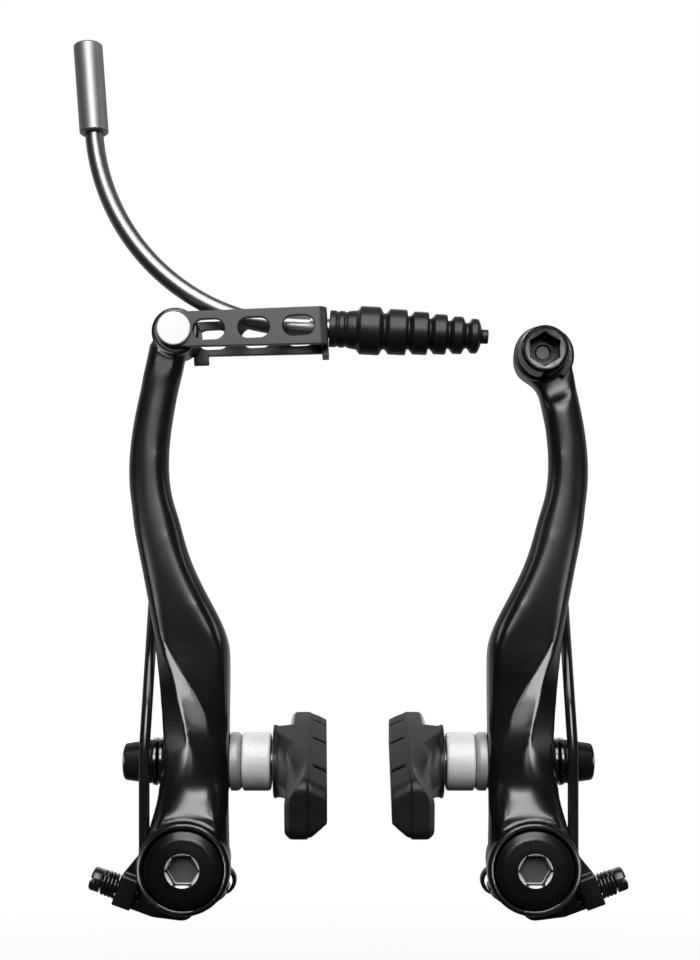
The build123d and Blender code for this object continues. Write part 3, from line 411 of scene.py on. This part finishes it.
# spring holders, stop pins, adjusters and return springs
holderLook = {
    "dark": (0.003, 0.003, 0.003), "light": (0.007, 0.007, 0.007), "roughness": (0.24, 0.34),
    "grainScale": 1500, "voxel": 0.24, "passes": 3,
}
pinSteelLook = {
    "dark": (0.35, 0.35, 0.36), "light": (0.5, 0.5, 0.51), "roughness": (0.25, 0.38),
    "grainScale": 2000, "metallic": 1.0,
}
wireLook = {
    "dark": (0.004, 0.004, 0.0044), "light": (0.009, 0.009, 0.0095), "roughness": (0.14, 0.2),
    "grainScale": 1600, "bump": 0.08, "specular": 0.8,
    "tailInward": 7.3, "tailHeight": -4.7, "legInward": -8.7, "legHeight": 0.0, "endDepth": -14.6,
}
screwLook = {**wireLook, "roughness": (0.18, 0.26), "bevel": 0.12, "bevelSegments": 2}
holderPlastic = finish("holderBlackPlastic", holderLook)
pinSteel = finish("stopPinSteel", pinSteelLook)
springBlack = finish("springBlackWire", wireLook)
screwBlack = finish("adjustScrewBlack", screwLook)


for side, outward in sides.items():
    holder = softened(side + "_spring_holder", holderLook)
    seat(holder, side + "_spring_holder", "holder", holderPlastic)
    paintNode(side + "_stop_pin", pinSteel)
    screw = bevelled(side + "_adjust_screw", screwLook)
    seat(screw, side + "_adjust_screw", "pin_steel", screwBlack)
    paintNode(side + "_adjust_spring", springBlack)
    # the wire is a plain copy of the node, with its placement baked in
    spring = copyOf(side + "_return_spring")
    spring.data.shade_smooth()
    seat(spring, side + "_return_spring", "spring_wire", springBlack)
    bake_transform(spring)
print("springs done")

# stack on the shoe stud
washerLook = {
    "dark": (0.30, 0.30, 0.305), "light": (0.46, 0.46, 0.465), "roughness": (0.5, 0.58),
    "grainScale": 2200, "bump": 0.2, "metallic": 0.5, "bevel": 0.2,
}
outerWasherLook = {
    "dark": (0.09, 0.09, 0.092), "light": (0.14, 0.14, 0.143), "roughness": (0.14, 0.2),
    "grainScale": 2000, "bump": 0.1, "metallic": 1.0, "bevel": 0.2,
}
spacerLook = {
    "dark": (0.50, 0.50, 0.505), "light": (0.76, 0.76, 0.765), "roughness": (0.46, 0.56),
    "grainScale": 2600, "grainShare": 0.7, "bump": 0.3, "metallic": 0.1, "bevel": 0.3,
}
nutLook = {
    "dark": (0.003, 0.003, 0.0034), "light": (0.007, 0.007, 0.0075), "roughness": (0.16, 0.22),
    "grainScale": 2000, "specular": 0.7, "bevel": 0.25,
}
studLook = {
    "dark": (0.3, 0.3, 0.31), "light": (0.42, 0.42, 0.43), "roughness": (0.3, 0.4),
    "grainScale": 1500, "metallic": 1.0,
}
washerGrey = finish("domeWasherGrey", washerLook)
spacerGrey = finish("spacerGrey", spacerLook)
nutBlack = finish("shoeNutBlack", nutLook)
washerDark = finish("outerWasherDark", outerWasherLook)
studSteel = finish("shoeStudSteel", studLook)
stack = [
    ("_inner_dome_washer", "washer", washerLook, washerGrey),
    ("_spacer", "spacer", spacerLook, spacerGrey),
    ("_outer_dome_washer", "washer", outerWasherLook, washerDark),
    ("_outer_cup_washer", "washer", outerWasherLook, washerDark),
    ("_shoe_nut", "nut", nutLook, nutBlack),
]
for side in sides:
    for name, slotName, look, material in stack:
        seat(bevelled(side + name, look), side + name, slotName, material)
    paintNode(side + "_shoe_stud", studSteel)
print("stud stacks done")

# brake shoes
shoeLook = {
    "dark": (0.004, 0.004, 0.004), "light": (0.010, 0.010, 0.010), "roughness": (0.36, 0.44),
    "grainScale": 1400, "bump": 0.3, "bumpDepth": 0.03, "specular": 0.4, "voxel": 0.28, "passes": 4,
    "roundUntil": (23.8, 24.6), "roundPasses": 8,
    "cornerFace": 22.2, "cornerTop": 20.45, "cornerFront": -42.9, "slope": 0.146,
    "cutWide": 3.0, "cutTall": 4.1, "cutFade": (-38, -20),
}
blockLook = {
    "dark": (0.004, 0.004, 0.004), "light": (0.010, 0.010, 0.010), "roughness": (0.40, 0.48),
    "grainScale": 1100, "bump": 0.35, "bumpDepth": 0.03, "specular": 0.35, "voxel": 0.3, "passes": 3,
    "closeUntil": (26.4, 27.4), "closeBy": 0.4,
}
shoeRubber = finish("shoeBackRubber", shoeLook)
blockRubber = finish("frictionRubber", blockLook)


# the moulded back is well rounded, and stays crisp where it meets the friction block
def backRound(point, normal):
    return 1 - between(inwardOf(point), *shoeLook["roundUntil"])


# the upper outer edge runs off in a slant toward the front end
def slantCorner(back):
    wide, tall = 1 / shoeLook["cutWide"], 1 / shoeLook["cutTall"]
    for vertex in back.data.vertices:
        point = vertex.co / mm
        top = shoeLook["cornerTop"] + shoeLook["slope"] * (point.y - shoeLook["cornerFront"])
        inward = inwardOf(point) - shoeLook["cornerFace"]
        short = 1 - inward * wide - (top - point.z) * tall
        if short > 0:
            share = 1 - between(point.y, *shoeLook["cutFade"])
            push = short * share / (wide * wide + tall * tall) * mm
            vertex.co.x -= math.copysign(push * wide, vertex.co.x)
            vertex.co.z -= push * tall


# the friction block is moulded on, so its joint side is drawn up to the back
def closeJoint(block):
    for vertex in block.data.vertices:
        share = 1 - between(inwardOf(vertex.co / mm), *blockLook["closeUntil"])
        vertex.co.x += math.copysign(blockLook["closeBy"] * share * mm, vertex.co.x)


for side in sides:
    back = softened(side + "_shoe_back", shoeLook)
    slantCorner(back)
    relaxed(back, backRound, shoeLook["roundPasses"])
    seat(back, side + "_shoe_back", "shoe_rubber", shoeRubber)
    block = softened(side + "_friction_block", blockLook)
    closeJoint(block)
    seat(block, side + "_friction_block", "friction_rubber", blockRubber)
print("shoes done")

# link and its pin
linkLook = {
    "dark": (0.032, 0.032, 0.033), "light": (0.055, 0.055, 0.057), "roughness": (0.36, 0.46),
    "grainScale": 2600, "metallic": 0.4, "specular": 0.6, "bevel": 0.16,
}
linkPinLook = {
    "dark": (0.70, 0.70, 0.695), "light": (0.82, 0.82, 0.815), "roughness": (0.46, 0.54),
    "grainScale": 1800, "bump": 0.06, "metallic": 0.1, "bevel": 0.12,
}
linkGrey = finish("linkGreySteel", linkLook)
linkPinBright = finish("linkPinBright", linkPinLook)
seat(bevelled("link", linkLook), "link", "link_sheet", linkGrey)
seat(bevelled("link_pin", linkPinLook), "link_pin", "link_pin", linkPinBright)
print("link done")

# lead pipe, ferrule, liner, tip and boot
pipeLook = {
    "dark": (0.28, 0.28, 0.285), "light": (0.35, 0.35, 0.355), "roughness": (0.33, 0.39),
    "grainScale": 2200, "bump": 0.04, "metallic": 1.0,
}
ferruleLook = {
    "dark": (0.34, 0.34, 0.345), "light": (0.42, 0.42, 0.425), "roughness": (0.42, 0.5),
    "grainScale": 2400, "metallic": 0.9, "bevel": 0.06,
}
linerLook = {
    "dark": (0.5, 0.5, 0.49), "light": (0.6, 0.6, 0.59), "roughness": (0.4, 0.5), "grainScale": 900,
}
bootLook = {
    "dark": (0.004, 0.004, 0.004), "light": (0.010, 0.010, 0.010), "roughness": (0.34, 0.44),
    "grainScale": 1500, "bump": 0.2, "voxel": 0.16, "passes": 6,
}
pipeSteel = finish("leadPipeSteel", pipeLook)
ferruleSteel = finish("ferruleSteel", ferruleLook)
linerPlastic = finish("linerPlastic", linerLook)
bootRubber = finish("bootRubber", bootLook)
paintNode("lead_pipe", pipeSteel)
seat(bevelled("pipe_ferrule", ferruleLook), "pipe_ferrule", "ferrule", ferruleSteel)
paintNode("pipe_liner", linerPlastic)
paintNode("pipe_tip", pinSteel)
seat(softened("boot", bootLook), "boot", "boot", bootRubber)
print("lead pipe and boot done")

# cable anchor: its bolt is glossier than the pivots', with a dimmer painted highlight on its mouth
clampLook = {
    "dark": (0.02, 0.02, 0.021), "light": (0.045, 0.045, 0.047), "roughness": (0.3, 0.42),
    "grainScale": 2000, "metallic": 0.5, "bevel": 0.2,
}
anchorLook = {**boltLook, "roughness": (0.12, 0.16), "specular": 0.4}
# grey painted on the anchor's socket mouth as a dimmer highlight ring, with painted light only on the
# floor's centre dimple
anchorMouthPaintedHighlightLook = {
    **mouthPaintedHighlightLook, "dark": (0.20, 0.20, 0.203), "light": (0.42, 0.42, 0.425), "driftScale": 500,
    "outer": 4.15, "flattest": -0.8, "steepest": -0.6, "floorReach": 0.5,
}
clampSteel = finish("clampPlateSteel", clampLook)
anchorMouth = finish("anchorMouthSteel", anchorMouthPaintedHighlightLook)
anchorCentre = middleOf("cable_anchor_bolt")
anchorTurned = finish("anchorBoltTurned", {**anchorLook, "ringCentre": anchorCentre})
anchor = bevelled("cable_anchor_bolt", anchorLook)
seat(anchor, "cable_anchor_bolt", "anchor", anchorTurned, anchorMouth, socketFloorPaintedLight)
paintSocketLight(anchor, anchorCentre, anchorMouthPaintedHighlightLook)
seat(bevelled("cable_clamp_plate", clampLook), "cable_clamp_plate", "clamp_plate", clampSteel)
print("anchor done")

# studio: pale floor, white surround, lamps and camera, in metres
studio = {
    "floorHeight": -0.16, "floorSize": 16.0, "floorColour": (0.86, 0.86, 0.86, 1), "white": (1, 1, 1, 1),
    "nearWhite": 0.78, "fadeSpan": (0.15, 0.85), "ambient": 0.1,
    "glossFront": 0.04, "glossBack": 0.36, "glossTurn": (0.05, 0.45),
}


# the camera sees the surround white, glossy rays see it pale behind the brake and dim in front
def surroundWhite(tree, place):
    rays = addNode(tree, "ShaderNodeLightPath").outputs
    depth = axisOf(tree, place, "Y")
    tone = spread(tree, depth, studio["glossFront"], studio["glossBack"], *studio["glossTurn"])
    glossy = combined(tree, "MULTIPLY", tone, rays["Is Glossy Ray"])
    seen = combined(tree, "MAXIMUM", rays["Is Camera Ray"], glossy)
    return combined(tree, "MAXIMUM", seen, rays["Is Transmission Ray"])


# the floor shows the shadow near the brake and fades to white away from it
def floorFinish():
    material = bpy.data.materials.new("paleFloor")
    tree = clearTree(material)
    output = addNode(tree, "ShaderNodeOutputMaterial")
    matte = addNode(tree, "ShaderNodeBsdfDiffuse")
    socket(matte, "Color", studio["floorColour"])
    glow = addNode(tree, "ShaderNodeEmission")
    socket(glow, "Color", studio["white"])
    place = addNode(tree, "ShaderNodeTexCoord").outputs["Object"]
    tree.links.new(surroundWhite(tree, place), glow.inputs["Strength"])
    reach = addNode(tree, "ShaderNodeVectorMath", operation="LENGTH")
    tree.links.new(place, reach.inputs[0])
    fade = spread(tree, reach.outputs["Value"], studio["nearWhite"], 1.0, *studio["fadeSpan"])
    rays = addNode(tree, "ShaderNodeLightPath").outputs
    shown = combined(tree, "MULTIPLY", rays["Is Camera Ray"], fade)
    mirrored = combined(tree, "MAXIMUM", rays["Is Glossy Ray"], rays["Is Transmission Ray"])
    bounced = combined(tree, "MAXIMUM", mirrored, rays["Is Diffuse Ray"])
    mixer = addNode(tree, "ShaderNodeMixShader")
    tree.links.new(combined(tree, "MAXIMUM", shown, bounced), mixer.inputs[0])
    tree.links.new(matte.outputs[0], mixer.inputs[1])
    tree.links.new(glow.outputs[0], mixer.inputs[2])
    tree.links.new(mixer.outputs[0], output.inputs["Surface"])
    return material


def buildFloor():
    half = studio["floorSize"] / 2
    corners = [(-half, -half), (half, -half), (half, half), (-half, half)]
    mesh = bpy.data.meshes.new("floor")
    mesh.from_pydata([(x, y, studio["floorHeight"]) for x, y in corners], [], [(0, 1, 2, 3)])
    mesh.materials.append(floorFinish())
    floor = bpy.data.objects.new("floor", mesh)
    bpy.context.scene.collection.objects.link(floor)
    floor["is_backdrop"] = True


def buildWorld():
    world = bpy.data.worlds.new("studioWhite")
    bpy.context.scene.world = world
    tree = clearTree(world)
    output = addNode(tree, "ShaderNodeOutputWorld")
    glow = addNode(tree, "ShaderNodeBackground")
    socket(glow, "Color", studio["white"])
    direction = addNode(tree, "ShaderNodeTexCoord").outputs["Generated"]
    rays = addNode(tree, "ShaderNodeLightPath").outputs
    soft = combined(tree, "MULTIPLY", rays["Is Diffuse Ray"], studio["ambient"])
    seen = combined(tree, "MAXIMUM", surroundWhite(tree, direction), soft)
    tree.links.new(seen, glow.inputs["Strength"])
    tree.links.new(glow.outputs[0], output.inputs["Surface"])


# softboxes over the whole brake, given by where they stand and how bright they look
lamps = [
    {"name": "frontPanel", "half": "both", "azimuth": 0, "elevation": 28, "away": 0.75,
     "size": (0.42, 0.24), "radiance": 7.5},
    {"name": "topPanel", "half": "both", "azimuth": 0, "elevation": 55, "away": 0.75,
     "size": (0.6, 0.34), "radiance": 4.5},
    {"name": "frontFill", "half": "both", "azimuth": 0, "elevation": 16, "away": 0.75,
     "size": (0.5, 0.1), "radiance": 1.3, "without": ("cable_anchor", "boot")},
    {"name": "backPanel", "half": "both", "azimuth": 180, "elevation": 34, "away": 0.8,
     "size": (0.6, 0.2), "radiance": 3.0, "without": ("shoe", "friction", "pipe")},
    {"name": "softKey", "half": "both", "azimuth": 0, "elevation": 48, "away": 0.75,
     "size": (0.6, 0.4), "radiance": 4.2, "glossy": False},
]
# one for each half, with the azimuth counted outward
halfLamps = [
    {"name": "Low", "only": "arm", "azimuth": 50, "elevation": -14, "away": 0.42,
     "size": (0.2, 0.16), "radiance": 8.0},
    {"name": "Edge", "only": "arm", "azimuth": 24, "elevation": -16, "away": 0.42,
     "size": (0.15, 0.11), "radiance": 3.0},
    {"name": "Side", "only": "shoe", "azimuth": 155, "elevation": 3, "away": 0.45,
     "size": (0.24, 0.12), "radiance": 5.0},
    {"name": "Hump", "only": "shoe", "azimuth": 78, "elevation": 4, "away": 0.45,
     "size": (0.24, 0.2), "radiance": 6.0},
    {"name": "Rim", "azimuth": -86, "elevation": 26, "away": 0.5,
     "size": (0.12, 0.14), "radiance": 2.5},
]
for lamp in halfLamps:
    for side, outward in sides.items():
        place = {"name": side + lamp["name"], "half": side, "azimuth": outward * lamp["azimuth"]}
        lamps.append({**lamp, **place})
lampAim = {"both": (0.0, -0.015, 0.03), "left": (-0.037, -0.015, 0.045), "right": (0.037, -0.015, 0.045)}


# the pieces a lamp lights: one half of the brake, one kind of piece there, or all but some kinds
def litPieces(lamp):
    group = bpy.data.collections.new(lamp["name"] + "Lit")
    kind = lamp["half"] + "_" + lamp["only"] if "only" in lamp else ""
    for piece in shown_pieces():
        lowest, highest = Vector(piece.bound_box[0]), Vector(piece.bound_box[6])
        itsHalf = "right" if (lowest + highest).x > 0 else "left"
        skipped = any(word in piece.name for word in lamp.get("without", ()))
        if lamp["half"] in ("both", itsHalf) and piece.name.startswith(kind) and not skipped:
            group.objects.link(piece)
    return group


def buildLamps():
    for lamp in lamps:
        light = bpy.data.lights.new(lamp["name"], "AREA")
        light.shape = "RECTANGLE"
        light.size, light.size_y = lamp["size"]
        light.energy = lamp["radiance"] * math.pi * light.size * light.size_y
        holder = bpy.data.objects.new(lamp["name"], light)
        bpy.context.scene.collection.objects.link(holder)
        turn, rise = math.radians(lamp["azimuth"]), math.radians(lamp["elevation"])
        level = Vector((math.sin(turn), -math.cos(turn), 0.0))
        toward = level * math.cos(rise) + Vector((0.0, 0.0, math.sin(rise)))
        holder.location = Vector(lampAim[lamp["half"]]) + toward * lamp["away"]
        holder.rotation_euler = (-toward).to_track_quat("-Z", "Y").to_euler()
        holder.visible_glossy = lamp.get("glossy", True)
        if lamp["half"] != "both" or "without" in lamp:
            holder.light_linking.receiver_collection = litPieces(lamp)


cameraSetup = {
    "at": (-1.82, -320, 47.7), "tilt": 90, "focalPixels": 1449, "tallPixels": 960, "dropPixels": 160,
    "sensor": 36, "clip": (0.01, 50),
}


def buildCamera():
    camera = bpy.data.cameras.new("frontCamera")
    camera.sensor_width = cameraSetup["sensor"]
    camera.lens = cameraSetup["sensor"] * cameraSetup["focalPixels"] / cameraSetup["tallPixels"]
    camera.shift_y = cameraSetup["dropPixels"] / cameraSetup["tallPixels"]
    camera.clip_start, camera.clip_end = cameraSetup["clip"]
    holder = bpy.data.objects.new("frontCamera", camera)
    bpy.context.scene.collection.objects.link(holder)
    holder.location = [v * mm for v in cameraSetup["at"]]
    holder.rotation_euler = (math.radians(cameraSetup["tilt"]), 0, 0)
    bpy.context.scene.camera = holder


buildFloor()
buildWorld()
buildLamps()
buildCamera()
bpy.context.scene.view_settings.view_transform = "Standard"
print("studio set")
